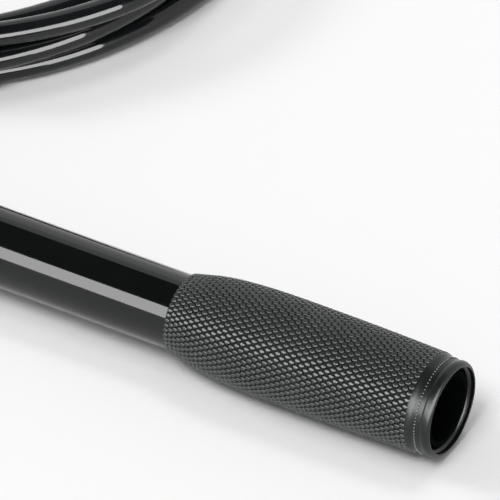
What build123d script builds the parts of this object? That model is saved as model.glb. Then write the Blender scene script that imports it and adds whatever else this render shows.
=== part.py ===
from build123d import *
import os
from math import asin, cos, degrees, pi, radians, sin, sqrt, tan

os.makedirs("parts", exist_ok=True)

# Telescopic golf ball retriever, collapsed and lying on the ground. The pole's axis runs along X:
# the open butt with its rubber grip is at +X, and the scoop that picks the ball up is at -X.
# Every place along the pole is a distance from the mouth of the grip, measured towards the scoop.

# ---- Driving dimensions, mm

# Pole tubes
butt_od = 25.4
butt_wall = 1.47
butt_length = 480.0
section_wall = 0.7
section_count = 6
guide_gap = 0.85  # radial room between two nested tubes, filled by the bushes

# Clearances
glue_line = 0.05  # radial, between pieces that are glued or pressed together
slide_fit = 0.08  # radial, between pieces that slide
pin_fit = 0.05  # radial, of a hinge eye on its pin
rest_gap = 0.3  # between faces that come together when the pole is closed

# Collar and bushes of each sliding joint
collar_wall = 1.5
collar_skirt = 11.0
collar_front = 3.0
collar_chamfer = 0.8
guide_length = 16.0
bush_length = 14.0
bush_slit = 1.2
flute_radius = 1.1
flute_depth = 0.45
flute_count = 12

# Rubber grip: lengths, and the thickness of the rubber over the tube
grip_length = 101.6
grip_nose_wall = 0.25
grip_cone_wall = 2.6
grip_shoulder_wall = 4.1
grip_belly_wall = 4.95
grip_end_wall = 4.4
grip_band_wall = 3.4
grip_rim_wall = 3.7
grip_mouth_wall = 1.63
grip_cone_length = 10.0
grip_shoulder_length = 20.0
grip_belly_at = 51.6
grip_band_length = 9.9
grip_step = 0.6
grip_rim_length = 2.6
mouth_depth = 1.5

# Buffer plug that the closed sections rest on, and the bead rolled into the tube that holds it
plug_depth = 60.0
plug_length = 16.0
bead_depth = 0.8
bead_length = 2.0

# Scoop
cup_inner_radius = 25.5
cup_wall = 2.7
cup_lip_radius = 19.0
cup_lip_height = 1.0
cup_flare = 0.7
window_count = 5
window_width = 14.0
window_height = 10.5
window_corner = 3.0
window_sill = 6.5
window_pitch = 48.0  # degrees
socket_radius = 8.2
socket_length = 26.0
socket_wall_end = 3.0
bead_width = 2.0
bead_height = 0.9
bead_count = 3
bead_pitch = 6.0
neck_length = 20.0
neck_width = 22.0
neck_height = 24.0
neck_corner = 6.0
rivet_radius = 1.5
rivet_at = 19.0  # from the socket's end
rivet_head_radius = 2.7
rivet_head_height = 1.0

# Gate that keeps the ball in the scoop
gate_wire_radius = 1.25
gate_pin_radius = 1.5
gate_pin_inset = 6.0  # from the cup's inner wall to the pin's axis
gate_eye_radius = 2.8
gate_leg_offset = 9.3
gate_leg_length = 20.0
gate_corner = 4.5
gate_floor_gap = 0.2
heel_length = 2.8
heel_top = 2.0
ledge_reach = 2.0
ledge_height = 2.2
ledge_side = 0.4
spring_wire_radius = 0.4
spring_play = 0.25
spring_turns = 7
spring_from = -7.2
spring_to = 6.0
spring_arm = 10.0  # straight leg over the bail
spring_arm_dip = 3.4  # degrees below level
spring_back = 9.5  # straight leg against the cup's wall
spring_back_lean = 40.0  # degrees off the vertical

# Clamp collar that the haul line is made fast to
clamp_at = 405.0
clamp_width = 14.0
clamp_wall = 3.2
clamp_ear = 8.0
clamp_ear_height = 12.0
clamp_slit = 1.5
boss_radius = 6.6
boss_length = 26.0  # from the pole's axis
boss_floor_gap = 0.6
boss_socket = 10.0
screw_radius = 2.0
screw_head_radius = 3.5
screw_head_height = 4.0
screw_socket = 3.0
screw_clearance = 0.2
nut_width = 7.0
nut_height = 3.2
boot_length = 20.0
boot_root_radius = 6.2
boot_tip_radius = 5.1

# Haul line, its coil and what is on it
line_diameter = 8.3
coil_x = 29.7
coil_y = 173.3
coil_outer_radius = 118.5
coil_width = 38.0
coil_height = 17.4
coil_corner = 6.0
tie_width = 10.0
tie_thickness = 1.0
tie_angles = (-51.5, 60.0)
knob_radius = 8.0
knob_length = 34.0
knob_socket = 9.0
knob_groove = 0.8

# ---- Sizes that follow from them

line_radius = line_diameter / 2
butt_radius = butt_od / 2
pole_height = butt_radius + grip_belly_wall

# Outer and bore radius of each tube, from the butt tube inwards
outer_radius = [butt_radius]
bore_radius = [butt_radius - butt_wall]
for number in range(2, section_count + 1):
    outer_radius.append(bore_radius[-1] - guide_gap)
    bore_radius.append(outer_radius[-1] - section_wall)

# Where each tube ends at the front
collar_pitch = collar_skirt + collar_front + rest_gap
front_end = [mouth_depth + butt_length + i * collar_pitch for i in range(section_count - 1)]
rear_end = plug_depth + plug_length + rest_gap
socket_at = front_end[-1] + collar_front + rest_gap
socket_depth = socket_length + neck_length - socket_wall_end
front_end.append(socket_at + socket_depth)

# The cup's centre, and the length that fixes where the mouth lies
cup_outer_radius = cup_inner_radius + cup_wall
cup_at = socket_at + socket_length + neck_length + cup_outer_radius
overall_length = cup_at + cup_outer_radius
mouth_x = overall_length / 2
cup_x = mouth_x - cup_at
cup_height = 2 * pole_height
dome_centre = cup_height - cup_lip_height - sqrt(cup_inner_radius**2 - cup_lip_radius**2)

# Travel of each sliding section, from closed to its stop
travel = [end - guide_length - rear_end - bush_length - rest_gap for end in front_end[:-1]]

gate_pin_x = cup_x + cup_inner_radius - gate_pin_inset
gate_pin_z = gate_eye_radius + gate_floor_gap

pole_axis = Axis((mouth_x, 0, pole_height), (-1, 0, 0))
cup_axis = Axis((cup_x, 0, 0), (0, 0, 1))

# Plane through the pole's axis: x is the distance from the mouth, y the distance from the axis
pole_plane = Plane(origin=(mouth_x, 0, pole_height), x_dir=(-1, 0, 0), z_dir=(0, 1, 0))
# Plane through the cup's axis: x is the distance from the axis, y the height
cup_plane = Plane(origin=(cup_x, 0, 0), x_dir=(1, 0, 0), z_dir=(0, -1, 0))


def station(distance):
    """Plane across the pole at that distance from the mouth, facing the scoop, with y upwards."""
    return Plane(
        origin=(mouth_x - distance, 0, pole_height), x_dir=(0, -1, 0), z_dir=(-1, 0, 0)
    )


def upright(x, y, z):
    """Plane at that place that faces +Y, with x along the pole."""
    return Plane(origin=(x, y, z), x_dir=(1, 0, 0), z_dir=(0, 1, 0))


# ---- Butt tube, grip and buffer plug

bead_start = plug_depth - bead_length - bead_depth


def tube_line(radius):
    """Half outline of the tube's wall at that radius, with the rolled bead in it."""
    return [
        (mouth_depth, radius),
        (bead_start, radius),
        (bead_start + bead_depth, radius - bead_depth),
        (plug_depth, radius - bead_depth),
        (plug_depth + bead_depth, radius),
        (front_end[0], radius),
    ]


with BuildPart() as butt_tube:
    with BuildSketch(pole_plane):
        with BuildLine():
            Polyline(*tube_line(butt_radius), *reversed(tube_line(bore_radius[0])), close=True)
        make_face()
    revolve(axis=pole_axis)

butt_tube.part.label = "butt_tube"
export_step(butt_tube.part, "parts/butt_tube.step")

# The sleeve swells from a thin nose to a belly, and ends in a plain band with a rounded rim.
# The tube's end lies flush with the floor of the recess inside the rim.
grip_bore = butt_radius + glue_line
grip_cone_at = grip_length - grip_cone_length
grip_shoulder_at = grip_length - grip_shoulder_length
nose_slope = (grip_cone_wall - grip_nose_wall) / grip_cone_length
mouth_radius = butt_radius + grip_mouth_wall
rim_radius = butt_radius + grip_rim_wall
bead = (rim_radius - mouth_radius) / 2

with BuildPart() as grip_sleeve:
    with BuildSketch(pole_plane):
        with BuildLine():
            Polyline(
                (bead, mouth_radius),
                (mouth_depth, mouth_radius),
                (mouth_depth, grip_bore),
                (grip_length, grip_bore),
                (grip_length, butt_radius + grip_nose_wall),
                (grip_cone_at, butt_radius + grip_cone_wall),
            )
            Spline(
                (grip_cone_at, butt_radius + grip_cone_wall),
                (grip_shoulder_at, butt_radius + grip_shoulder_wall),
                (grip_belly_at, butt_radius + grip_belly_wall),
                tangents=[(-1, nose_slope), (-1, 0)],
            )
            TangentArc(
                (grip_belly_at, butt_radius + grip_belly_wall),
                (grip_band_length, butt_radius + grip_end_wall),
                tangent=(-1, 0),
            )
            Polyline(
                (grip_band_length, butt_radius + grip_end_wall),
                (grip_band_length - grip_step, butt_radius + grip_band_wall),
                (grip_rim_length, butt_radius + grip_band_wall),
                (bead, rim_radius),
            )
            ThreePointArc(
                (bead, rim_radius),
                (0, (rim_radius + mouth_radius) / 2),
                (bead, mouth_radius),
            )
        make_face()
    revolve(axis=pole_axis)

grip_sleeve.part.label = "grip_sleeve"
export_step(grip_sleeve.part, "parts/grip_sleeve.step")

with BuildPart() as buffer_plug:
    with BuildSketch(station(plug_depth)):
        Circle(bore_radius[0] - glue_line)
    extrude(amount=plug_length)
    chamfer(buffer_plug.edges(), length=bead_depth)

buffer_plug.part.label = "buffer_plug"
export_step(buffer_plug.part, "parts/buffer_plug.step")

# ---- Sliding sections, each with a split bush at its rear end

for i in range(1, section_count):
    with BuildPart() as section:
        with BuildSketch(station(rear_end)):
            Circle(outer_radius[i])
            Circle(bore_radius[i], mode=Mode.SUBTRACT)
        extrude(amount=front_end[i] - rear_end)
        if i == section_count - 1:
            with BuildSketch(upright(mouth_x - socket_at - rivet_at, 0, pole_height)):
                Circle(rivet_radius + glue_line)
            extrude(amount=outer_radius[i], both=True, mode=Mode.SUBTRACT)

    section.part.label = f"section_{i + 1}"
    export_step(section.part, f"parts/section_{i + 1}.step")

    with BuildPart() as rear_bush:
        with BuildSketch(station(rear_end)):
            Circle(bore_radius[i - 1] - slide_fit)
            Circle(outer_radius[i] + glue_line, mode=Mode.SUBTRACT)
            with Locations((0, bore_radius[i - 1])):
                Rectangle(bush_slit, 4 * guide_gap, mode=Mode.SUBTRACT)
        extrude(amount=bush_length)

    rear_bush.part.label = f"rear_bush_{i + 1}"
    export_step(rear_bush.part, f"parts/rear_bush_{i + 1}.step")

# ---- Front collars: a fluted skirt over the tube's end, and a guide sleeve inside it

for i in range(section_count - 1):
    tube_end = front_end[i]
    skirt_start = tube_end - collar_skirt
    collar_end = tube_end + collar_front
    collar_radius = outer_radius[i] + collar_wall
    guide_radius = outer_radius[i + 1] + slide_fit

    with BuildPart() as front_collar:
        with BuildSketch(pole_plane):
            with BuildLine():
                Polyline(
                    (skirt_start, outer_radius[i] + glue_line),
                    (skirt_start, collar_radius - collar_chamfer),
                    (skirt_start + collar_chamfer, collar_radius),
                    (collar_end - collar_chamfer, collar_radius),
                    (collar_end, collar_radius - collar_chamfer),
                    (collar_end, guide_radius),
                    (tube_end - guide_length, guide_radius),
                    (tube_end - guide_length, bore_radius[i] - glue_line),
                    (tube_end, bore_radius[i] - glue_line),
                    (tube_end, outer_radius[i] + glue_line),
                    close=True,
                )
            make_face()
        revolve(axis=pole_axis)
        with BuildSketch(station(skirt_start + 2 * collar_chamfer)):
            with PolarLocations(collar_radius + flute_radius - flute_depth, flute_count):
                Circle(flute_radius)
        extrude(amount=collar_skirt - 2 * collar_chamfer, mode=Mode.SUBTRACT)

    front_collar.part.label = f"front_collar_{i + 1}"
    export_step(front_collar.part, f"parts/front_collar_{i + 1}.step")

# ---- Scoop: a domed cup, open below, with a lip that holds the ball, and a socket for the pole

crown_angle = asin((cup_height - dome_centre) / cup_outer_radius)
lip_angle = asin((cup_height - cup_lip_height - dome_centre) / cup_inner_radius)
rivet_x = mouth_x - socket_at - rivet_at

with BuildPart() as scoop:
    with BuildSketch(cup_plane):
        with BuildLine():
            crown_edge = (
                cup_outer_radius * cos(crown_angle),
                dome_centre + cup_outer_radius * sin(crown_angle),
            )
            Polyline(crown_edge, (0, cup_height), (0, 0), (cup_outer_radius, 0))
            Line((cup_outer_radius, 0), (cup_outer_radius, dome_centre))
            CenterArc((0, dome_centre), cup_outer_radius, 0, degrees(crown_angle))
        make_face()
    revolve(axis=cup_axis)

    # Neck between the socket and the cup's wall
    with BuildSketch(station(socket_at + socket_length)):
        Circle(socket_radius)
    with BuildSketch(station(cup_at - cup_inner_radius + neck_corner)):
        RectangleRounded(neck_width, neck_height, neck_corner)
    loft()
    with BuildSketch(station(socket_at)):
        Circle(socket_radius)
    extrude(amount=socket_length)
    for i in range(bead_count):
        with BuildSketch(station(socket_at + bead_pitch * i)):
            Circle(socket_radius + bead_height)
        extrude(amount=bead_width)

    # Space for the ball
    with BuildSketch(cup_plane):
        with BuildLine():
            lip_edge = (cup_lip_radius, cup_height - cup_lip_height)
            Polyline(lip_edge, (cup_lip_radius, cup_height), (0, cup_height), (0, 0))
            Polyline(
                (0, 0),
                (cup_inner_radius + cup_flare, 0),
                (cup_inner_radius, 2 * cup_flare),
                (cup_inner_radius, dome_centre),
            )
            CenterArc((0, dome_centre), cup_inner_radius, 0, degrees(lip_angle))
        make_face()
    revolve(axis=cup_axis, mode=Mode.SUBTRACT)

    # Windows that let water and mud out
    for i in range(window_count):
        turn = radians(180 + window_pitch * (i - (window_count - 1) / 2))
        outwards = Vector(cos(turn), sin(turn), 0)
        window_plane = Plane(
            origin=(cup_x, 0, window_sill + window_height / 2),
            x_dir=(-sin(turn), cos(turn), 0),
            z_dir=outwards,
        )
        with BuildSketch(window_plane):
            RectangleRounded(window_width, window_height, window_corner)
        extrude(amount=cup_outer_radius + cup_wall, mode=Mode.SUBTRACT)

    # Ledges that stop the gate when it is closed
    for side in (-1, 1):
        ledge_x = (gate_pin_x + ledge_reach + cup_x + cup_inner_radius) / 2
        with BuildSketch(Plane.XY.offset(gate_pin_z + heel_top + rest_gap)):
            with Locations((ledge_x, side * gate_leg_offset)):
                Rectangle(
                    gate_pin_inset - ledge_reach,
                    2 * (gate_wire_radius + ledge_side),
                )
        extrude(amount=ledge_height)

    # Holes for the pole, its rivet and the gate's pin
    with BuildSketch(station(socket_at)):
        Circle(outer_radius[-1] + glue_line)
    extrude(amount=socket_depth, mode=Mode.SUBTRACT)
    with BuildSketch(upright(rivet_x, 0, pole_height)):
        Circle(rivet_radius + glue_line)
    extrude(amount=socket_radius + bead_height, both=True, mode=Mode.SUBTRACT)
    with BuildSketch(upright(gate_pin_x, 0, gate_pin_z)):
        Circle(gate_pin_radius + glue_line)
    extrude(amount=cup_outer_radius, both=True, mode=Mode.SUBTRACT)

scoop.part.label = "scoop"
export_step(scoop.part, "parts/scoop.step")

with BuildPart() as neck_rivet:
    with BuildSketch(upright(rivet_x, 0, pole_height)):
        Circle(rivet_radius)
    extrude(amount=socket_radius, both=True)
    for side in (-1, 1):
        head_plane = Plane(
            origin=(rivet_x, side * socket_radius, pole_height),
            x_dir=(1, 0, 0),
            z_dir=(0, side, 0),
        )
        with BuildSketch(head_plane):
            Circle(rivet_head_radius)
        extrude(amount=rivet_head_height, taper=35)

neck_rivet.part.label = "neck_rivet"
export_step(neck_rivet.part, "parts/neck_rivet.step")

# ---- Gate: a sprung wire bail that swings up to let the ball in and drops back under it

gate_pin_half = sqrt(cup_outer_radius**2 - (gate_pin_x - cup_x + gate_pin_radius) ** 2)

with BuildPart() as gate_pin:
    with BuildSketch(upright(gate_pin_x, 0, gate_pin_z)):
        Circle(gate_pin_radius)
    extrude(amount=gate_pin_half, both=True)

gate_pin.part.label = "gate_pin"
export_step(gate_pin.part, "parts/gate_pin.step")

gate_tip_x = gate_pin_x - gate_leg_length

with BuildPart() as gate_bail:
    with BuildLine() as gate_line:
        FilletPolyline(
            (gate_pin_x, -gate_leg_offset, gate_pin_z),
            (gate_tip_x, -gate_leg_offset, gate_pin_z),
            (gate_tip_x, gate_leg_offset, gate_pin_z),
            (gate_pin_x, gate_leg_offset, gate_pin_z),
            radius=gate_corner,
        )
    with BuildSketch(Plane(origin=gate_line.line @ 0, z_dir=gate_line.line % 0)):
        Circle(gate_wire_radius)
    sweep()
    for side in (-1, 1):
        with BuildSketch(upright(gate_pin_x, side * gate_leg_offset - gate_wire_radius, gate_pin_z)):
            Circle(gate_eye_radius)
        extrude(amount=2 * gate_wire_radius)
        with BuildSketch(Plane.XY.offset(gate_pin_z)):
            with Locations((gate_pin_x + heel_length / 2, side * gate_leg_offset)):
                Rectangle(heel_length, 2 * gate_wire_radius)
        extrude(amount=heel_top)
    with BuildSketch(upright(gate_pin_x, 0, gate_pin_z)):
        Circle(gate_pin_radius + pin_fit)
    extrude(amount=2 * gate_leg_offset, both=True, mode=Mode.SUBTRACT)

gate_bail.part.label = "gate_bail"
export_step(gate_bail.part, "parts/gate_bail.step")

# Torsion spring round the pin: one leg bears on the cup's wall, the other lies on the bail
coil_mean = gate_pin_radius + spring_play + spring_wire_radius
spring_wound = spring_turns - (90 - spring_arm_dip - spring_back_lean) / 360
spring_length = spring_to - spring_from
pin_axis = Axis((gate_pin_x, 0, gate_pin_z), (0, 1, 0))
spring_winding = Helix(
    pitch=spring_length / spring_wound,
    height=spring_length,
    radius=coil_mean,
    center=(gate_pin_x, spring_from, gate_pin_z),
    direction=(0, 1, 0),
)

with BuildPart() as gate_spring:
    with BuildLine() as spring_line:
        add(spring_winding.rotate(pin_axis, -spring_arm_dip))
    arm_root = Plane(origin=spring_line.line @ 0, z_dir=spring_line.line % 0)
    back_root = Plane(origin=spring_line.line @ 1, z_dir=spring_line.line % 1)
    with BuildSketch(arm_root):
        Circle(spring_wire_radius)
    sweep(is_frenet=True)
    with BuildSketch(arm_root):
        Circle(spring_wire_radius)
    extrude(amount=-spring_arm)
    with BuildSketch(back_root):
        Circle(spring_wire_radius)
    extrude(amount=spring_back)

gate_spring.part.label = "gate_spring"
export_step(gate_spring.part, "parts/gate_spring.step")

# ---- Clamp collar, with its screw and nut, and the boot round the haul line

clamp_middle = mouth_x - clamp_at - clamp_width / 2
clamp_radius = butt_radius + clamp_wall
ear_middle = clamp_radius + clamp_ear / 2
boss_z = boss_radius + boss_floor_gap

with BuildPart() as line_clamp:
    with BuildSketch(station(clamp_at)):
        Circle(clamp_radius)
        with Locations((clamp_radius / 2 + clamp_ear / 2, 0)):
            Rectangle(clamp_radius + clamp_ear, clamp_ear_height)
    extrude(amount=clamp_width)
    with BuildSketch(upright(clamp_middle, 0, boss_z)):
        Circle(boss_radius)
    extrude(amount=boss_length)
    with BuildSketch(station(clamp_at)):
        Circle(butt_radius + glue_line)
        with Locations((clamp_radius, 0)):
            Rectangle(2 * (clamp_ear + clamp_wall), clamp_slit)
    extrude(amount=clamp_width, mode=Mode.SUBTRACT)
    with BuildSketch(upright(clamp_middle, boss_length - boss_socket, boss_z)):
        Circle(line_radius + glue_line)
    extrude(amount=boss_socket, mode=Mode.SUBTRACT)
    with BuildSketch(Plane.XY.offset(pole_height)):
        with Locations((clamp_middle, -ear_middle)):
            Circle(screw_radius + screw_clearance)
    extrude(amount=clamp_ear_height, both=True, mode=Mode.SUBTRACT)

line_clamp.part.label = "line_clamp"
export_step(line_clamp.part, "parts/line_clamp.step")

ear_top = pole_height + clamp_ear_height / 2
ear_bottom = pole_height - clamp_ear_height / 2

with BuildPart() as clamp_screw:
    with BuildSketch(Plane.XY.offset(ear_bottom - nut_height)):
        with Locations((clamp_middle, -ear_middle)):
            Circle(screw_radius)
    extrude(amount=clamp_ear_height + nut_height)
    with BuildSketch(Plane.XY.offset(ear_top)):
        with Locations((clamp_middle, -ear_middle)):
            Circle(screw_head_radius)
    extrude(amount=screw_head_height)
    with BuildSketch(Plane.XY.offset(ear_top + screw_head_height / 2)):
        with Locations((clamp_middle, -ear_middle)):
            RegularPolygon(screw_socket / 2, 6, major_radius=False)
    extrude(amount=screw_head_height / 2, mode=Mode.SUBTRACT)

clamp_screw.part.label = "clamp_screw"
export_step(clamp_screw.part, "parts/clamp_screw.step")

with BuildPart() as clamp_nut:
    with BuildSketch(Plane.XY.offset(ear_bottom - nut_height)):
        with Locations((clamp_middle, -ear_middle)):
            RegularPolygon(nut_width / 2, 6, major_radius=False)
            Circle(screw_radius + glue_line, mode=Mode.SUBTRACT)
    extrude(amount=nut_height)

clamp_nut.part.label = "clamp_nut"
export_step(clamp_nut.part, "parts/clamp_nut.step")

with BuildPart() as line_boot:
    with BuildSketch(upright(clamp_middle, boss_length, boss_z)):
        Circle(boot_root_radius)
    with BuildSketch(upright(clamp_middle, boss_length + boot_length, boss_z)):
        Circle(boot_tip_radius)
    loft()
    with BuildSketch(upright(clamp_middle, boss_length, boss_z)):
        Circle(line_radius + glue_line)
    extrude(amount=boot_length, mode=Mode.SUBTRACT)

line_boot.part.label = "line_boot"
export_step(line_boot.part, "parts/line_boot.step")

# ---- Haul line: a lead from the clamp to the coil, the coil, and a tail inside it that ends in a knob


def turns_of(points):
    """The turn at each inner point of a route, in degrees."""
    steps = [b - a for a, b in zip(points, points[1:])]
    return [a.get_angle(b) for a, b in zip(steps, steps[1:])]


def arc_radii(points):
    """The largest arcs that the runs of a route leave room for, one for each inner point."""
    runs = [(b - a).length for a, b in zip(points, points[1:])]
    return [
        0.45 * min(a, b) / tan(radians(turn) / 2)
        for a, b, turn in zip(runs, runs[1:], turns_of(points))
    ]


def tube_along(name, points):
    """A round tube of the line's diameter along a route of straight runs and tangent arcs."""
    radii = arc_radii(points)
    with BuildPart() as line_tube:
        with BuildLine() as route:
            FilletPolyline(*points, radius=radii)
        with BuildSketch(Plane(origin=route.line @ 0, z_dir=route.line % 0)):
            Circle(line_radius)
        sweep()
    length = route.wire().length
    share = line_tube.part.volume / (pi * line_radius**2 * length)
    print(name, "radii", [round(radius) for radius in radii], "length", round(length, 1))
    print(name, "volume as a share of section times length", round(share, 4))
    return line_tube


lead_points = [
    Vector(clamp_middle, boss_length - boss_socket, boss_z),
    Vector(clamp_middle, 71, boss_z),
    Vector(-91, 126, line_radius),
    Vector(-82.5, 173, line_radius),
]
line_lead = tube_along("line_lead", lead_points)
line_lead.part.label = "line_lead"
export_step(line_lead.part, "parts/line_lead.step")

coil_middle = coil_outer_radius - coil_width / 2
coil_axis = Axis((coil_x, coil_y, 0), (0, 0, 1))


def coil_section(angle):
    """Plane across the coil's ring at that angle, with x outwards and y upwards."""
    turn = radians(angle)
    return Plane(
        origin=(
            coil_x + coil_middle * cos(turn),
            coil_y + coil_middle * sin(turn),
            coil_height / 2,
        ),
        x_dir=(cos(turn), sin(turn), 0),
        z_dir=(sin(turn), -cos(turn), 0),
    )


with BuildPart() as line_coil:
    with BuildSketch(coil_section(0)):
        RectangleRounded(coil_width, coil_height, coil_corner)
    revolve(axis=coil_axis)
    for angle in tie_angles:
        with BuildSketch(coil_section(angle)):
            Rectangle(2 * coil_width, 2 * coil_height)
            RectangleRounded(
                coil_width - 2 * tie_thickness,
                coil_height - 2 * tie_thickness,
                coil_corner - tie_thickness,
                mode=Mode.SUBTRACT,
            )
        extrude(amount=tie_width / 2, both=True, mode=Mode.SUBTRACT)

line_coil.part.label = "line_coil"
export_step(line_coil.part, "parts/line_coil.step")

with BuildPart() as coil_ties:
    for angle in tie_angles:
        with BuildSketch(coil_section(angle)):
            RectangleRounded(coil_width, coil_height, coil_corner)
            RectangleRounded(
                coil_width - 2 * tie_thickness,
                coil_height - 2 * tie_thickness,
                coil_corner - tie_thickness,
                mode=Mode.SUBTRACT,
            )
        extrude(amount=tie_width / 2, both=True)

coil_ties.part.label = "coil_ties"
export_step(coil_ties.part, "parts/coil_ties.step")

tail_points = [
    Vector(-47.8, 141, line_radius),
    Vector(-53.5, 172, line_radius),
    Vector(-45, 203, line_radius),
    Vector(-24, 226, knob_radius),
    Vector(6, 233, knob_radius),
]
line_tail = tube_along("line_tail", tail_points)
line_tail.part.label = "line_tail"
export_step(line_tail.part, "parts/line_tail.step")

tail_way = (tail_points[-1] - tail_points[-2]).normalized()
knob_mouth = tail_points[-1] - tail_way * knob_socket
knob_plane = Plane(origin=knob_mouth, x_dir=tail_way, z_dir=tail_way.cross(Vector(0, 0, 1)))
knob_round = knob_radius / 2

with BuildPart() as line_knob:
    with BuildSketch(knob_plane):
        with BuildLine():
            knob_top = Polyline(
                (knob_socket, 0),
                (knob_socket, line_radius + glue_line),
                (0, line_radius + glue_line),
                (0, knob_radius - knob_groove),
                (knob_groove, knob_radius),
                (knob_length - knob_round, knob_radius),
            )
            RadiusArc(
                (knob_length - knob_round, knob_radius),
                (knob_length, knob_radius - knob_round),
                knob_round,
            )
            Polyline(
                (knob_length, knob_radius - knob_round),
                (knob_length, 0),
                (knob_socket, 0),
            )
        make_face()
    revolve(axis=Axis(knob_mouth, tail_way))

line_knob.part.label = "line_knob"
export_step(line_knob.part, "parts/line_knob.step")
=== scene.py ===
from math import cos, pi, radians, sin

import bmesh
import bpy
import numpy as np
from mathutils import Matrix, Vector


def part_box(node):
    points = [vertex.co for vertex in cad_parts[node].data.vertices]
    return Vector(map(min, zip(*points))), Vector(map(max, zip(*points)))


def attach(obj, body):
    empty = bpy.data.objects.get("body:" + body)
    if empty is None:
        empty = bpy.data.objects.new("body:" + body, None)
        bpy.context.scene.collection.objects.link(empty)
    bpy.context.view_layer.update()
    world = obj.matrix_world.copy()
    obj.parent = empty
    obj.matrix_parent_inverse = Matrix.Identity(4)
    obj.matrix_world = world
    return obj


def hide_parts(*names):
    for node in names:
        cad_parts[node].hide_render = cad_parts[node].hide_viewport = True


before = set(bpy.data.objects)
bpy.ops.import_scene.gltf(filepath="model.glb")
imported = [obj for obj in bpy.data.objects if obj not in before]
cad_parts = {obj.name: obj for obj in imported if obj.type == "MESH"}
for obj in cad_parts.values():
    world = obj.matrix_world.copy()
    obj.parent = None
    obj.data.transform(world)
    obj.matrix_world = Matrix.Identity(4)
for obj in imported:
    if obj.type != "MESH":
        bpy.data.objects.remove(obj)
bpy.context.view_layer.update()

# ---- Camera
# A long lens looks down on the butt end of the pole from the grip's side, with part of the haul
# line's coil behind it.

mouth = Vector((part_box("grip_sleeve")[1][0], 0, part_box("grip_sleeve")[1][2] / 2))
to_camera = Vector((0.3811, -0.6709, 0.6361)).normalized()
camera_right = Vector((0.8695, 0.4939, 0)).normalized()
camera_up = to_camera.cross(camera_right)
camera_distance = 7.0
field_width = 0.1602
sensor_width = 36
left_of_mouth = 0.06486
above_mouth = 0.0515
aim = mouth - left_of_mouth * camera_right + above_mouth * camera_up

camera = bpy.data.objects.new("camera", bpy.data.cameras.new("camera"))
bpy.context.scene.collection.objects.link(camera)
turn = Matrix((camera_right, camera_up, to_camera)).transposed()
camera.matrix_world = Matrix.Translation(aim + camera_distance * to_camera) @ turn.to_4x4()
camera.data.sensor_width = sensor_width
camera.data.lens = sensor_width * camera_distance / field_width
camera.data.clip_end = 50
bpy.context.scene.camera = camera

# ---- Haul line
# A smooth, glossy black plastic-jacketed line. It leaves the clamp's boss straight, lies down on
# the ground and goes round in four turns, of which the second rides over the first and the third
# over the second. Its end comes out inside the coil.


def link(obj):
    bpy.context.scene.collection.objects.link(obj)
    return obj


def tree_of(name):
    """A new material, with its node tree and its Principled shader."""
    material = bpy.data.materials.new(name)
    material.use_nodes = True
    tree = material.node_tree
    shader = tree.nodes["Principled BSDF"]
    return material, tree, shader


def noise(tree, scale, stretch=(1, 1, 1), detail=3.0):
    """Noise on the piece's own coordinates, in metres, with that many patches a metre."""
    place = tree.nodes.new("ShaderNodeTexCoord")
    mapping = tree.nodes.new("ShaderNodeMapping")
    mapping.inputs["Scale"].default_value = stretch
    pattern = tree.nodes.new("ShaderNodeTexNoise")
    pattern.inputs["Scale"].default_value = scale
    pattern.inputs["Detail"].default_value = detail
    tree.links.new(place.outputs["Object"], mapping.inputs["Vector"])
    tree.links.new(mapping.outputs["Vector"], pattern.inputs["Vector"])
    return pattern.outputs["Fac"]


def between(tree, value, low, high, start=0.3, end=0.7):
    """A value that runs from low to high as the pattern runs from start to end."""
    spread = tree.nodes.new("ShaderNodeMapRange")
    spread.inputs["From Min"].default_value = start
    spread.inputs["From Max"].default_value = end
    spread.inputs["To Min"].default_value = low
    spread.inputs["To Max"].default_value = high
    tree.links.new(value, spread.inputs["Value"])
    return spread.outputs["Result"]


def tint(tree, value, dark, light):
    """A colour that runs from dark to light with the pattern."""
    mix = tree.nodes.new("ShaderNodeMix")
    mix.data_type = "RGBA"
    mix.inputs["A"].default_value = (*dark, 1)
    mix.inputs["B"].default_value = (*light, 1)
    tree.links.new(value, mix.inputs["Factor"])
    return mix.outputs["Result"]


def relief(tree, shader, height, depth):
    """Bump of that depth in metres."""
    bump = tree.nodes.new("ShaderNodeBump")
    bump.inputs["Strength"].default_value = 1.0
    bump.inputs["Distance"].default_value = depth
    tree.links.new(height, bump.inputs["Height"])
    tree.links.new(bump.outputs["Normal"], shader.inputs["Normal"])


def finish(name, dark, light, rough, grain, depth, metal=0.0, stretch=(1, 1, 1), shine=0.5):
    """A finish with slightly varied colour, roughness that varies with wear, and a grain."""
    material, tree, shader = tree_of(name)
    shader.inputs["Metallic"].default_value = metal
    shader.inputs["Specular IOR Level"].default_value = shine
    patches = noise(tree, 45, detail=4)
    colour = tint(tree, between(tree, patches, 0, 1), dark, light)
    tree.links.new(colour, shader.inputs["Base Color"])
    worn = noise(tree, 120, stretch, detail=5)
    tree.links.new(between(tree, worn, rough[0], rough[1]), shader.inputs["Roughness"])
    relief(tree, shader, noise(tree, grain, stretch, detail=2), depth)
    return material


line_radius = 0.00415
boss_z = 0.0072
clamp_x = -0.0898
coil_centre = Vector((0.0288, 0.1737, 0))
line_lead = [
    (clamp_x, 0.016, boss_z),
    (clamp_x, 0.071, boss_z),
    (-0.091, 0.126, line_radius),
    (-0.0825, 0.173, line_radius),
]
line_tail = [
    (-0.0478, 0.141, line_radius),
    (-0.0535, 0.172, line_radius),
    (-0.045, 0.203, line_radius),
    (-0.024, 0.226, 0.008),
    (0.006, 0.233, 0.008),
]
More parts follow.
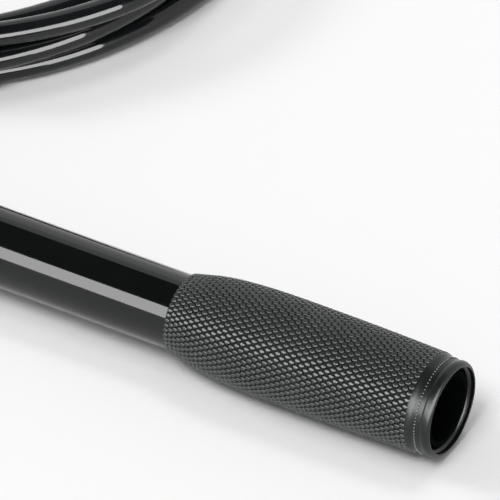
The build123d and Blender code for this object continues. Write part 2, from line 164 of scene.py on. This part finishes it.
# Angle wound from the side where the lead comes in, radius and height of the line's centre, in mm
turns = np.array([
    (0, 112, 4.15), (60, 110.6, 4.2), (180, 109.6, 4.45), (200, 107.4, 4.5), (220, 108.2, 4.5),
    (240, 109.9, 4.4), (280, 108, 4.3), (320, 104, 4.2), (360, 101.7, 4.2), (440, 101.7, 4.2),
    (480, 102.5, 7.0), (520, 105, 11.6), (540, 104.2, 12.7), (560, 106.7, 12.9), (580, 110.1, 12.6),
    (600, 114.8, 12.3), (640, 110, 12.7), (690, 106.3, 12.4), (750, 104, 12.6), (780, 101, 12.9),
    (820, 102, 14.5), (840, 102.8, 15.8), (860, 104.2, 18.6), (880, 106, 20.6), (900, 110, 21),
    (920, 111.7, 21), (940, 110.2, 20.9), (960, 110.4, 20.8), (980, 107.5, 20.6), (1000, 102, 19),
    (1020, 97, 14), (1040, 94, 8), (1060, 93.2, 4.3), (1080, 93.2, 4.15), (1120, 89, 4.15),
    (1160, 85.6, 4.15), (1200, 85, 4.15), (1220, 87, 7.5), (1240, 92, 11), (1260, 95.5, 14.2),
    (1280, 97.5, 15.6), (1300, 98.6, 15.6), (1320, 102.2, 15.4), (1340, 98.5, 13), (1360, 91.5, 9),
    (1380, 86, 5.5), (1400, 84.2, 4.3),
])
turn_step = 20


def turn_point(angle):
    radius = np.interp(angle, turns[:, 0], turns[:, 1]) / cos(radians(turn_step / 2)) / 1000
    height = np.interp(angle, turns[:, 0], turns[:, 2]) / 1000
    way = radians(180 - angle)
    return coil_centre + Vector((radius * cos(way), radius * sin(way), height))


route = line_lead + [turn_point(angle) for angle in range(turn_step, 1401, turn_step)] + line_tail
line_curve = bpy.data.curves.new("haul_line", "CURVE")
line_curve.dimensions = "3D"
line_spline = line_curve.splines.new("NURBS")
line_spline.points.add(len(route) - 1)
for point, place in zip(line_spline.points, route):
    point.co = (*place, 1)
line_spline.order_u = 3
line_spline.use_endpoint_u = True
line_spline.resolution_u = 10
line_spline.use_smooth = True
line_curve.bevel_depth = line_radius
line_curve.bevel_resolution = 7
line_curve.use_fill_caps = True
haul_line = link(bpy.data.objects.new("haul_line", line_curve))

jacket, tree, shader = tree_of("line_jacket")
shader.inputs["Coat Weight"].default_value = 1.0
shader.inputs["Coat Roughness"].default_value = 0.04
shader.inputs["Coat IOR"].default_value = 1.4
shader.inputs["Specular IOR Level"].default_value = 0.04
patches = between(tree, noise(tree, 30), 0, 1)
colour = tint(tree, patches, (0.006, 0.007, 0.008), (0.012, 0.013, 0.014))
tree.links.new(colour, shader.inputs["Base Color"])
tree.links.new(between(tree, noise(tree, 260, detail=5), 0.16, 0.3), shader.inputs["Roughness"])
relief(tree, shader, noise(tree, 160), 0.00003)
haul_line.data.materials.append(jacket)
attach(haul_line, "handle")
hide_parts("line_lead", "line_coil", "line_tail")


def dress(node, material):
    """Gives a CAD node its finish."""
    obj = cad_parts[node]
    obj.data.materials.clear()
    obj.data.materials.append(material)


# ---- Line fittings
# The ribbed boot takes the bend off the line where it leaves the clamp, and a turned nylon knob
# gives the hand something to pull on.

boot_rubber = finish(
    "boot_rubber", (0.012, 0.012, 0.012), (0.02, 0.02, 0.02), (0.45, 0.6), 1800, 0.00002
)
boot_segments = 48
rib_pitch = 2.4
groove_depth = 1.1
# Distance along the line from the pole's axis and radius, in mm
boot_outline = [(26, 6.2), (29.4, 6.1)]
for rib in range(5):
    first = 30 + rib * rib_pitch
    size = 6.1 - 0.055 * (first - 26)
    boot_outline += [
        (first, size - groove_depth), (first + 0.9, size - groove_depth),
        (first + 1.2, size), (first + 2.1, size),
    ]
boot_outline += [(42.6, 5.2), (45.2, 5.12), (45.8, 4.9), (46, 4.6), (46, 4.2), (26, 4.2)]
boot_start = Vector((
    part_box("line_boot")[0][0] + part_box("line_boot")[1][0],
    0,
    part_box("line_boot")[0][2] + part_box("line_boot")[1][2],
)) / 2
turned = bmesh.new()
rings = []
for distance, radius in boot_outline:
    ring = []
    for step in range(boot_segments):
        angle = 2 * pi * step / boot_segments
        place = Vector((radius * cos(angle), distance, radius * sin(angle))) / 1000
        ring.append(turned.verts.new(boot_start + place))
    rings.append(ring)
for ring, after in zip(rings, rings[1:] + rings[:1]):
    for step in range(boot_segments):
        ahead = (step + 1) % boot_segments
        face = turned.faces.new((ring[step], ring[ahead], after[ahead], after[step]))
        face.smooth = True
bmesh.ops.recalc_face_normals(turned, faces=turned.faces)
boot_mesh = bpy.data.meshes.new("ribbed_boot")
turned.to_mesh(boot_mesh)
turned.free()
boot_mesh.set_sharp_from_angle(angle=radians(50))
boot_mesh.materials.append(boot_rubber)
boot = link(bpy.data.objects.new("ribbed_boot", boot_mesh))
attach(boot, "handle")
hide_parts("line_boot")
nylon = finish(
    "black_nylon", (0.016, 0.016, 0.017), (0.024, 0.024, 0.025), (0.36, 0.5), 2600, 0.000025
)
dress("line_knob", nylon)

# ---- Coil straps
# Two woven nylon straps hold the coil together. Each is drawn tight round the turns and pressed
# onto itself with a hook-and-loop end.

strap_width = 0.008
strap_thickness = 0.0009
strap_gap = 0.0003
strap_points = 160
webbing, tree, shader = tree_of("strap_webbing")
shader.inputs["Specular IOR Level"].default_value = 0.25
shader.inputs["Sheen Weight"].default_value = 0.25
shader.inputs["Sheen Roughness"].default_value = 0.5
own_map = tree.nodes.new("ShaderNodeUVMap")
own_map.uv_map = "strap"
threads = []
for direction, count in (("X", 900.0), ("Y", 1500.0)):
    thread = tree.nodes.new("ShaderNodeTexWave")
    thread.bands_direction = direction
    thread.inputs["Scale"].default_value = count / 2 / pi
    thread.inputs["Distortion"].default_value = 0.6
    thread.inputs["Detail"].default_value = 1.0
    tree.links.new(own_map.outputs["UV"], thread.inputs["Vector"])
    threads.append(thread.outputs["Fac"])
crossing = tree.nodes.new("ShaderNodeMath")
crossing.operation = "MULTIPLY"
tree.links.new(threads[0], crossing.inputs[0])
tree.links.new(threads[1], crossing.inputs[1])
weave = crossing.outputs[0]
lit_threads = between(tree, weave, 0, 1, 0.1, 0.9)
colour = tint(tree, lit_threads, (0.008, 0.008, 0.009), (0.03, 0.03, 0.032))
tree.links.new(colour, shader.inputs["Base Color"])
tree.links.new(between(tree, noise(tree, 700), 0.6, 0.85), shader.inputs["Roughness"])
relief(tree, shader, weave, 0.00012)

bare = line_curve.copy()
bare.bevel_depth = 0
bare_line = link(bpy.data.objects.new("bare_line", bare))
bpy.context.view_layer.update()
bare_now = bare_line.evaluated_get(bpy.context.evaluated_depsgraph_get())
centre_line = bpy.data.meshes.new_from_object(bare_now)
line_points = [vert.co.copy() for vert in centre_line.vertices]
bpy.data.objects.remove(bare_line)


def strap_outline(way):
    """The tight outline round the turns that cross one side of the coil, as (radius, height)."""
    out = Vector((cos(way), sin(way), 0))
    side = Vector((-sin(way), cos(way), 0))
    places = []
    for first, second in zip(line_points, line_points[1:]):
        a, b = (first - coil_centre).dot(side), (second - coil_centre).dot(side)
        if a * b <= 0 and a != b and (first - coil_centre).dot(out) > 0.05:
            hit = first.lerp(second, a / (a - b))
            places.append(((hit - coil_centre).dot(out), hit.z))
    off = line_radius + strap_gap
    ring = [
        (r + off * cos(t * pi / 18), z + off * sin(t * pi / 18))
        for r, z in places
        for t in range(36)
    ]
    ring.sort()
    hull = []
    for half in (ring, ring[::-1]):
        start = len(hull)
        for point in half:
            while len(hull) - start >= 2 and (
                (hull[-1][0] - hull[-2][0]) * (point[1] - hull[-2][1])
                - (hull[-1][1] - hull[-2][1]) * (point[0] - hull[-2][0])
            ) <= 0:
                hull.pop()
            hull.append(point)
        hull.pop()
    loop = np.array(hull + hull[:1])
    far = np.concatenate([[0], np.cumsum(np.hypot(*np.diff(loop, axis=0).T))])
    even = np.linspace(0, far[-1], strap_points + 1)[:-1]
    outline = np.stack([np.interp(even, far, loop[:, 0]), np.interp(even, far, loop[:, 1])], -1)
    return outline, far[-1]


def strap(name, degrees_round):
    way = radians(degrees_round)
    out = Vector((cos(way), sin(way), 0))
    side = Vector((-sin(way), cos(way), 0))
    outline, length = strap_outline(way)
    count = len(outline)
    ahead = np.roll(outline, -2, axis=0) - np.roll(outline, 2, axis=0)
    ahead /= np.linalg.norm(ahead, axis=1)[:, None]
    outwards = np.stack([ahead[:, 1], -ahead[:, 0]], -1)
    band = bmesh.new()
    maps = band.loops.layers.uv.new("strap")

    def wrap(steps, lift, width):
        """One layer of webbing from the first step to the last, that far off the turns."""
        closed = len(steps) == count
        section = [
            (-width / 2, 0.0), (-width / 2, 0.6 * strap_thickness),
            (-0.46 * width, strap_thickness), (0.0, strap_thickness),
            (0.46 * width, strap_thickness), (width / 2, 0.6 * strap_thickness),
            (width / 2, 0.0), (0.0, 0.0),
        ]
        rows = []
        for step in steps:
            row = []
            for across, up in section:
                r, z = outline[step % count] + outwards[step % count] * (lift + up)
                height = Vector((0, 0, max(z, 0.0002 + 0.3 * up)))
                row.append(band.verts.new(coil_centre + out * r + side * across + height))
            rows.append(row)
        spans = list(zip(rows, rows[1:] + (rows[:1] if closed else [])))
        for number, (row, after) in enumerate(spans):
            for k in range(8):
                face = band.faces.new((row[k], after[k], after[(k + 1) % 8], row[(k + 1) % 8]))
                face.smooth = True
                along = [number, number + 1, number + 1, number]
                cross = [k, k, k + 1, k + 1]
                for corner, u, v in zip(face.loops, along, cross):
                    corner[maps].uv = (u * length / count, section[v % 8][0])
        if not closed:
            band.faces.new(rows[0])
            band.faces.new(rows[-1][::-1])

    wrap(list(range(count)), 0.0, strap_width)
    outermost = int(np.argmax(outline[:, 0]))
    overlap = list(range(outermost + 6, outermost + 62))
    wrap(overlap, 0.95 * strap_thickness, 0.94 * strap_width)
    bmesh.ops.recalc_face_normals(band, faces=band.faces)
    mesh = bpy.data.meshes.new(name)
    band.to_mesh(mesh)
    band.free()
    mesh.materials.append(webbing)
    piece = link(bpy.data.objects.new(name, mesh))
    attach(piece, "handle")
    return piece


straps = [strap("coil_strap_1", -51.7), strap("coil_strap_2", 60)]
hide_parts("coil_ties")

# ---- Butt tube
# An aluminium tube, taken as one inch across, with a deep gloss black coat. Its cut end, down in
# the mouth of the grip, loses the coat and all gloss and stays near black as painted shade.

shaded_end = 0.012
paint, tree, shader = tree_of("gloss_black_tube")
shader.inputs["Coat Roughness"].default_value = 0.04
shader.inputs["Coat IOR"].default_value = 1.4
spot = tree.nodes.new("ShaderNodeSeparateXYZ")
place = tree.nodes.new("ShaderNodeTexCoord")
tree.links.new(place.outputs["Object"], spot.inputs[0])
# Painted shade: past this mark, down in the mouth, the tube has no coat and no gloss and stays near
# black.
painted = tree.nodes.new("ShaderNodeMath")
painted.operation = "LESS_THAN"
painted.inputs[1].default_value = mouth.x - shaded_end
tree.links.new(spot.outputs[0], painted.inputs[0])
tree.links.new(painted.outputs[0], shader.inputs["Coat Weight"])
tree.links.new(between(tree, painted.outputs[0], 0.0, 0.04), shader.inputs["Specular IOR Level"])
patches = between(tree, noise(tree, 25), 0, 1)
colour = tint(tree, patches, (0.004, 0.005, 0.005), (0.007, 0.008, 0.008))
tree.links.new(colour, shader.inputs["Base Color"])
tree.links.new(between(tree, noise(tree, 90, (0.3, 1, 1), 6), 0.1, 0.2), shader.inputs["Roughness"])
relief(tree, shader, noise(tree, 220, (0.5, 1, 1)), 0.00001)
dress("butt_tube", paint)

# ---- Grip and buffer plug
# Moulded rubber sleeve, knurled with rings of small rounded points, with a plain band and a rolled
# rim at the butt. The points are painted a lighter tone as light on their tops, the rubber between
# them a darker tone as painted shade, and the inside of the mouth near black as painted shade. The
# plug deep inside the tube takes the knock of the closing sections.

grip_rubber = finish(
    "grip_rubber", (0.009, 0.011, 0.011), (0.013, 0.016, 0.016),
    (0.24, 0.34), 1500, 0.00003, shine=0.3,
)
# Painted shade: the same rubber between the points, coloured darker than the plain sleeve.
painted_shade_groove_rubber = finish(
    "painted_shade_groove_rubber", (0.006, 0.007, 0.007), (0.01, 0.012, 0.012),
    (0.75, 0.9), 1500, 0.00003, shine=0.12,
)
# Painted shade: the rubber inside the mouth is near black and matte, all but the step that catches
# light.
painted_shade_mouth_rubber = finish(
    "painted_shade_mouth_rubber", (0.002, 0.002, 0.002), (0.004, 0.004, 0.004),
    (0.8, 0.95), 1500, 0.00002, shine=0.02,
)
# Distance from the mouth and radius, in mm: over the nose, cone and belly, round the rim and back
# inside
sleeve_outline = [
    (99.4, 12.93), (99.1, 13.1), (98, 13.36), (96, 13.85), (93.5, 14.45), (91.6, 14.93), (88, 15.63),
    (85, 16.06), (81.6, 16.42), (77, 16.77), (72, 17.03), (66, 17.2), (60, 17.26), (51.6, 17.27),
    (40, 17.23), (30, 17.12), (20, 16.95), (12, 16.77), (8.6, 16.74), (8.4, 16.86), (8.1, 16.9),
    (7.7, 16.82), (7.2, 16.58), (6.7, 16.34), (6.2, 16.2), (5.4, 16.12), (4.6, 16.08), (4, 16.06),
    (3.6, 16), (3.35, 15.95), (3.15, 16), (2.9, 16.18), (2.5, 16.34), (2.1, 16.4), (1.5, 16.37),
    (1, 16.22), (0.55, 15.95), (0.2, 15.55), (0, 15.1), (0, 14.86), (0.12, 14.78), (0.7, 14.77),
    (1.3, 14.76), (1.36, 14.7), (1.42, 14.5), (1.6, 14.2), (1.9, 13.9), (2.4, 13.68), (2.6, 13.65),
    (5.9, 13.62), (6, 13.55), (6.02, 12.84), (6.1, 12.76), (50, 12.76), (99.3, 12.76),
]
sleeve_segments = 160
# Finishes of the sleeve: 0 plain rubber, 1 between the points, darker as painted shade, 2 inside the
# mouth, near black as painted shade
shell = bmesh.new()
rings = []
for distance, radius in sleeve_outline:
    ring = []
    for step in range(sleeve_segments):
        turn_round = 2 * pi * step / sleeve_segments
        place = (0, radius / 1000 * sin(turn_round), radius / 1000 * cos(turn_round))
        ring.append(shell.verts.new(mouth + Vector(place) - Vector((distance / 1000, 0, 0))))
    rings.append(ring)
for number, (ring, after) in enumerate(zip(rings, rings[1:] + rings[:1])):
    far = min(sleeve_outline[number][0], sleeve_outline[(number + 1) % len(rings)][0])
    for step in range(sleeve_segments):
        ahead = (step + 1) % sleeve_segments
        face = shell.faces.new((ring[step], ring[ahead], after[ahead], after[step]))
        face.smooth = True
        inner = number > sleeve_outline.index((0, 14.86))
        lit_step = 1.3 <= far < 2.4
        face.material_index = (0 if lit_step else 2) if inner else (1 if far > 8.5 else 0)
bmesh.ops.recalc_face_normals(shell, faces=shell.faces)
sleeve_mesh = bpy.data.meshes.new("grip_rubber_sleeve")
shell.to_mesh(sleeve_mesh)
shell.free()
sleeve_mesh.materials.append(grip_rubber)
sleeve_mesh.materials.append(painted_shade_groove_rubber)
sleeve_mesh.materials.append(painted_shade_mouth_rubber)
sleeve = link(bpy.data.objects.new("grip_rubber_sleeve", sleeve_mesh))
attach(sleeve, "handle")
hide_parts("grip_sleeve")
plug_rubber = finish(
    "plug_rubber", (0.01, 0.01, 0.01), (0.016, 0.016, 0.016), (0.6, 0.8), 1200, 0.00005
)
dress("buffer_plug", plug_rubber)

# Painted light: the points are a lighter tone than the rubber they are moulded in, as light on their
# tops.
painted_light_point_rubber = finish(
    "painted_light_point_rubber", (0.02, 0.024, 0.023), (0.032, 0.038, 0.037),
    (0.2, 0.3), 1500, 0.00002, shine=0.45,
)
# Painted light: the rim points have the same lighter tone as the knurl points; their glints come
# from their gloss.
painted_light_rim_rubber = finish(
    "painted_light_rim_rubber", (0.02, 0.024, 0.023), (0.032, 0.038, 0.037),
    (0.1, 0.18), 1500, 0.00001, shine=1.0,
)


def knurl_tree():
    """Rings of points that are shot inwards onto the sleeve and carry a pillow-shaped stud each."""
    tree = bpy.data.node_groups.new("grip_knurl", "GeometryNodeTree")
    tree.is_modifier = True
    face = tree.interface
    face.new_socket("Sleeve", in_out="INPUT", socket_type="NodeSocketGeometry")
    for name, kind in (
        ("Rings", "NodeSocketInt"),
        ("Points round", "NodeSocketInt"),
        ("Ring spacing", "NodeSocketFloat"),
        ("First ring", "NodeSocketFloat"),
        ("Axis height", "NodeSocketFloat"),
        ("Reach", "NodeSocketFloat"),
        ("Point length", "NodeSocketFloat"),
        ("Point radius", "NodeSocketFloat"),
        ("Point height", "NodeSocketFloat"),
        ("Rubber", "NodeSocketMaterial"),
    ):
        face.new_socket(name, in_out="INPUT", socket_type=kind)
    face.new_socket("Knurl", in_out="OUTPUT", socket_type="NodeSocketGeometry")

    def add(kind, **settings):
        node = tree.nodes.new(kind)
        for key, value in settings.items():
            setattr(node, key, value)
        return node

    def wire_in(source, socket):
        if hasattr(source, "outputs"):
            source = source.outputs[0]
        if isinstance(source, (int, float)):
            socket.default_value = source
        else:
            tree.links.new(source, socket)

    def sum_of(operation, first, second=None):
        node = add("ShaderNodeMath", operation=operation)
        wire_in(first, node.inputs[0])
        if second is not None:
            wire_in(second, node.inputs[1])
        return node.outputs[0]

    def vector_of(x, y, z):
        node = add("ShaderNodeCombineXYZ")
        for source, socket in zip((x, y, z), node.inputs):
            wire_in(source, socket)
        return node.outputs[0]

    given = add("NodeGroupInput").outputs
    index = add("GeometryNodeInputIndex").outputs[0]
    ring = sum_of("FLOOR", sum_of("DIVIDE", sum_of("ADD", index, 0.5), given["Points round"]))
    place = sum_of("SUBTRACT", index, sum_of("MULTIPLY", ring, given["Points round"]))
    half = sum_of("MULTIPLY", sum_of("MODULO", ring, 2), 0.5)
    share = sum_of("DIVIDE", sum_of("ADD", place, half), given["Points round"])
    turn_round = sum_of("MULTIPLY", share, 2 * pi)
    across, up = sum_of("COSINE", turn_round), sum_of("SINE", turn_round)
    along = sum_of("SUBTRACT", given["First ring"], sum_of("MULTIPLY", ring, given["Ring spacing"]))
    start = vector_of(
        along,
        sum_of("MULTIPLY", across, given["Reach"]),
        sum_of("ADD", given["Axis height"], sum_of("MULTIPLY", up, given["Reach"])),
    )
    inwards = vector_of(0.0, sum_of("MULTIPLY", across, -1), sum_of("MULTIPLY", up, -1))

    points = add("GeometryNodePoints")
    wire_in(sum_of("MULTIPLY", given["Rings"], given["Points round"]), points.inputs["Count"])
    wire_in(start, points.inputs["Position"])
    shot = add("GeometryNodeRaycast")
    wire_in(given["Sleeve"], shot.inputs["Target Geometry"])
    wire_in(inwards, shot.inputs["Ray Direction"])
    wire_in(given["Reach"], shot.inputs["Ray Length"])
    kept = add("GeometryNodeStoreNamedAttribute", data_type="FLOAT_VECTOR", domain="POINT")
    kept.inputs["Name"].default_value = "lie"
    wire_in(points.outputs[0], kept.inputs["Geometry"])
    wire_in(shot.outputs["Hit Normal"], kept.inputs["Value"])
    moved = add("GeometryNodeSetPosition")
    wire_in(kept.outputs[0], moved.inputs["Geometry"])
    wire_in(shot.outputs["Hit Position"], moved.inputs["Position"])
    lie = add("GeometryNodeInputNamedAttribute", data_type="FLOAT_VECTOR")
    lie.inputs["Name"].default_value = "lie"
    stand = add("FunctionNodeAlignRotationToVector", axis="Z")
    wire_in(lie.outputs[0], stand.inputs["Vector"])
    steady = add("FunctionNodeAlignRotationToVector", axis="X", pivot_axis="Z")
    wire_in(stand.outputs[0], steady.inputs["Rotation"])
    steady.inputs["Vector"].default_value = (1, 0, 0)

    cone = add("GeometryNodeMeshCone")
    cone.inputs["Vertices"].default_value = 8
    cone.inputs["Side Segments"].default_value = 3
    cone.inputs["Radius Top"].default_value = 0.0
    cone.inputs["Radius Bottom"].default_value = 1.0
    cone.inputs["Depth"].default_value = 1.0
    spot = add("ShaderNodeSeparateXYZ")
    wire_in(add("GeometryNodeInputPosition"), spot.inputs[0])
    east, north = spot.outputs[0], spot.outputs[1]
    reach = sum_of("ADD", sum_of("MULTIPLY", east, east), sum_of("MULTIPLY", north, north))
    pillow = add("GeometryNodeSetPosition")
    wire_in(cone.outputs["Mesh"], pillow.inputs["Geometry"])
    height = sum_of("SUBTRACT", 1.0, sum_of("POWER", reach, 3.0))
    wire_in(vector_of(east, north, height), pillow.inputs["Position"])
    sized = add("GeometryNodeTransform")
    wire_in(pillow.outputs[0], sized.inputs["Geometry"])
    size = vector_of(given["Point length"], given["Point radius"], given["Point height"])
    wire_in(size, sized.inputs["Scale"])
    sunk = sum_of("MULTIPLY", given["Point height"], -0.12)
    wire_in(vector_of(0.0, 0.0, sunk), sized.inputs["Translation"])
    rounded = add("GeometryNodeSetShadeSmooth")
    wire_in(sized.outputs[0], rounded.inputs["Geometry"])
    studs = add("GeometryNodeInstanceOnPoints")
    wire_in(moved.outputs[0], studs.inputs["Points"])
    wire_in(rounded.outputs[0], studs.inputs["Instance"])
    wire_in(steady.outputs[0], studs.inputs["Rotation"])
    whole = add("GeometryNodeRealizeInstances")
    wire_in(studs.outputs[0], whole.inputs["Geometry"])
    finished = add("GeometryNodeSetMaterial")
    wire_in(whole.outputs[0], finished.inputs["Geometry"])
    wire_in(given["Rubber"], finished.inputs["Material"])
    done = add("NodeGroupOutput")
    wire_in(finished.outputs[0], done.inputs[0])
    return tree


def grow(name, base, tree, inputs):
    """The plain mesh that a tree makes from a base mesh, with its inputs set by their names."""
    seed = link(bpy.data.objects.new(name, base))
    modifier = seed.modifiers.new(name, "NODES")
    modifier.node_group = tree
    for socket in tree.interface.items_tree:
        if socket.in_out == "INPUT" and socket.name in inputs:
            modifier[socket.identifier] = inputs[socket.name]
    bpy.context.view_layer.update()
    seen_now = seed.evaluated_get(bpy.context.evaluated_depsgraph_get())
    mesh = bpy.data.meshes.new_from_object(seen_now)
    seed.modifiers.remove(modifier)
    bpy.data.objects.remove(seed)
    mesh.name = name
    return link(bpy.data.objects.new(name, mesh))


ring_spacing = 0.001818
stud_tree = knurl_tree()
knurl = grow("grip_knurl", sleeve_mesh.copy(), stud_tree, {
    "Rings": 50,
    "Points round": 48,
    "Ring spacing": ring_spacing,
    "First ring": mouth.x - 0.0093,
    "Axis height": mouth.z,
    "Reach": 0.03,
    "Point length": 0.00122,
    "Point radius": 0.00102,
    "Point height": 0.00044,
    "Rubber": painted_light_point_rubber,
})
rim_points = grow("rim_points", sleeve_mesh.copy(), stud_tree, {
    "Rings": 1,
    "Points round": 84,
    "Ring spacing": ring_spacing,
    "First ring": mouth.x - 0.0051,
    "Axis height": mouth.z,
    "Reach": 0.03,
    "Point length": 0.00042,
    "Point radius": 0.0004,
    "Point height": 0.0004,
    "Rubber": painted_light_rim_rubber,
})
for piece in (knurl, rim_points):
    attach(piece, "handle")

# ---- Sliding sections, bushes and collars
# Bright anodised aluminium tubes, each guided by a split nylon bush inside and a fluted black
# nylon collar on the end of the tube before it.

aluminium = finish(
    "section_aluminium", (0.6, 0.61, 0.63), (0.72, 0.73, 0.75),
    (0.2, 0.34), 700, 0.000012, 1.0, (0.03, 1, 1),
)
bush_nylon = finish(
    "bush_nylon", (0.6, 0.58, 0.52), (0.7, 0.68, 0.62), (0.4, 0.55), 1500, 0.00002
)
for number in range(2, 7):
    dress(f"section_{number}", aluminium)
    dress(f"rear_bush_{number}", bush_nylon)
    dress(f"front_collar_{number - 1}", nylon)

# ---- Scoop and gate
# The scoop is one nylon moulding, riveted to the last section. A polished wire bail on a steel pin
# closes its mouth under the ball. The torsion spring round the pin is drawn as it sits with the
# gate closed, and does not follow the bail.

steel = finish(
    "fastener_steel", (0.42, 0.42, 0.42), (0.56, 0.56, 0.57), (0.22, 0.4), 900, 0.00002, 1.0
)
wire = finish("gate_steel", (0.6, 0.6, 0.6), (0.7, 0.7, 0.7), (0.1, 0.2), 500, 0.00001, 1.0)
spring_wire = finish(
    "spring_steel", (0.4, 0.4, 0.4), (0.5, 0.5, 0.5), (0.2, 0.35), 700, 0.00001, 1.0
)
dress("scoop", nylon)
dress("neck_rivet", steel)
dress("gate_pin", steel)
dress("gate_bail", wire)
dress("gate_spring", spring_wire)

# ---- Line clamp
# A split nylon collar, closed on the tube by one cap screw and nut. The line leaves through the
# boss on its side.

dress("line_clamp", nylon)
dress("clamp_screw", steel)
dress("clamp_nut", steel)

# ---- Floor and light
# A pale floor under three soft lights from far off. Two bright cards stand in front and to the
# right, where only gloss shows them, and a dark one hangs overhead.

floor = link(bpy.data.objects.new("floor", bpy.data.meshes.new("floor")))
floor.data.from_pydata([(-6, -6, 0), (6, -6, 0), (6, 6, 0), (-6, 6, 0)], [], [(0, 1, 2, 3)])
floor_paint, tree, shader = tree_of("floor")
shader.inputs["Base Color"].default_value = (0.93, 0.93, 0.93, 1)
shader.inputs["Roughness"].default_value = 0.9
shader.inputs["Specular IOR Level"].default_value = 0.0
floor.data.materials.append(floor_paint)

world = bpy.data.worlds.new("studio")
bpy.context.scene.world = world
world.use_nodes = True
tree = world.node_tree
room = tree.nodes["Background"]
room.inputs["Color"].default_value = (1, 1, 1, 1)
rays = tree.nodes.new("ShaderNodeLightPath")
seen = tree.nodes.new("ShaderNodeMath")
seen.operation = "MAXIMUM"
seen_through = tree.nodes.new("ShaderNodeMath")
seen_through.operation = "MAXIMUM"
level = tree.nodes.new("ShaderNodeMapRange")
level.inputs["To Min"].default_value = 0.4
level.inputs["To Max"].default_value = 1.0
tree.links.new(rays.outputs["Is Camera Ray"], seen.inputs[0])
tree.links.new(rays.outputs["Is Glossy Ray"], seen.inputs[1])
tree.links.new(seen.outputs[0], seen_through.inputs[0])
tree.links.new(rays.outputs["Is Transmission Ray"], seen_through.inputs[1])
tree.links.new(seen_through.outputs[0], level.inputs["Value"])
tree.links.new(level.outputs["Result"], room.inputs["Strength"])


def lamp(name, way, spread, strength):
    """A soft light from far off that reaches the whole floor evenly. Gloss doesn't see it."""
    light = bpy.data.lights.new(name, "SUN")
    light.angle = radians(spread)
    light.energy = strength
    obj = link(bpy.data.objects.new(name, light))
    obj.matrix_world = Vector(way).to_track_quat("Z", "Y").to_matrix().to_4x4()
    obj.visible_glossy = False


lamp("key_light", (0, -1.02, 1.57), 22, 1.45)
lamp("side_light", (-1.25, -0.2, 0.85), 18, 0.8)
lamp("back_light", (-0.05, 0.7, 1.7), 16, 0.4)


def card(name, corners, strength):
    """A flat panel that only gloss sees."""
    mesh = bpy.data.meshes.new(name)
    mesh.from_pydata(corners, [], [(0, 1, 2, 3)])
    obj = link(bpy.data.objects.new(name, mesh))
    paper = bpy.data.materials.new(name)
    paper.use_nodes = True
    paper.node_tree.nodes.remove(paper.node_tree.nodes["Principled BSDF"])
    glow = paper.node_tree.nodes.new("ShaderNodeEmission")
    glow.inputs["Strength"].default_value = strength
    glow.inputs["Color"].default_value = (1, 1, 1, 1)
    paper.node_tree.links.new(glow.outputs[0], paper.node_tree.nodes["Material Output"].inputs[0])
    mesh.materials.append(paper)
    obj.visible_camera = False
    obj.visible_diffuse = False
    obj.visible_transmission = False
    obj.visible_volume_scatter = False
    obj.visible_shadow = False


def tilted_card(name, azimuth, low, high, distance, width, strength):
    """A card across a direction over the ground, between two elevations seen from the object."""
    way = Vector((cos(radians(azimuth)), sin(radians(azimuth)), 0))
    side = Vector((-way.y, way.x, 0)) * width / 2
    foot = way * distance * cos(radians(low)) + Vector((0, 0, distance * sin(radians(low))))
    top = way * distance * cos(radians(high)) + Vector((0, 0, distance * sin(radians(high))))
    card(name, [foot - side, foot + side, top + side, top - side], strength)


tilted_card("front_box", -90, 12.5, 44, 1.2, 3.0, 10.5)
tilted_card("right_box", -27, 0.5, 33, 1.2, 1.2, 13.5)
card("overhead_flag", [(-3, -1.15, 1.0), (3, -1.15, 1.0), (3, 0.55, 1.0), (-3, 0.55, 1.0)], 0.0)

bpy.context.scene.view_settings.view_transform = "Standard"
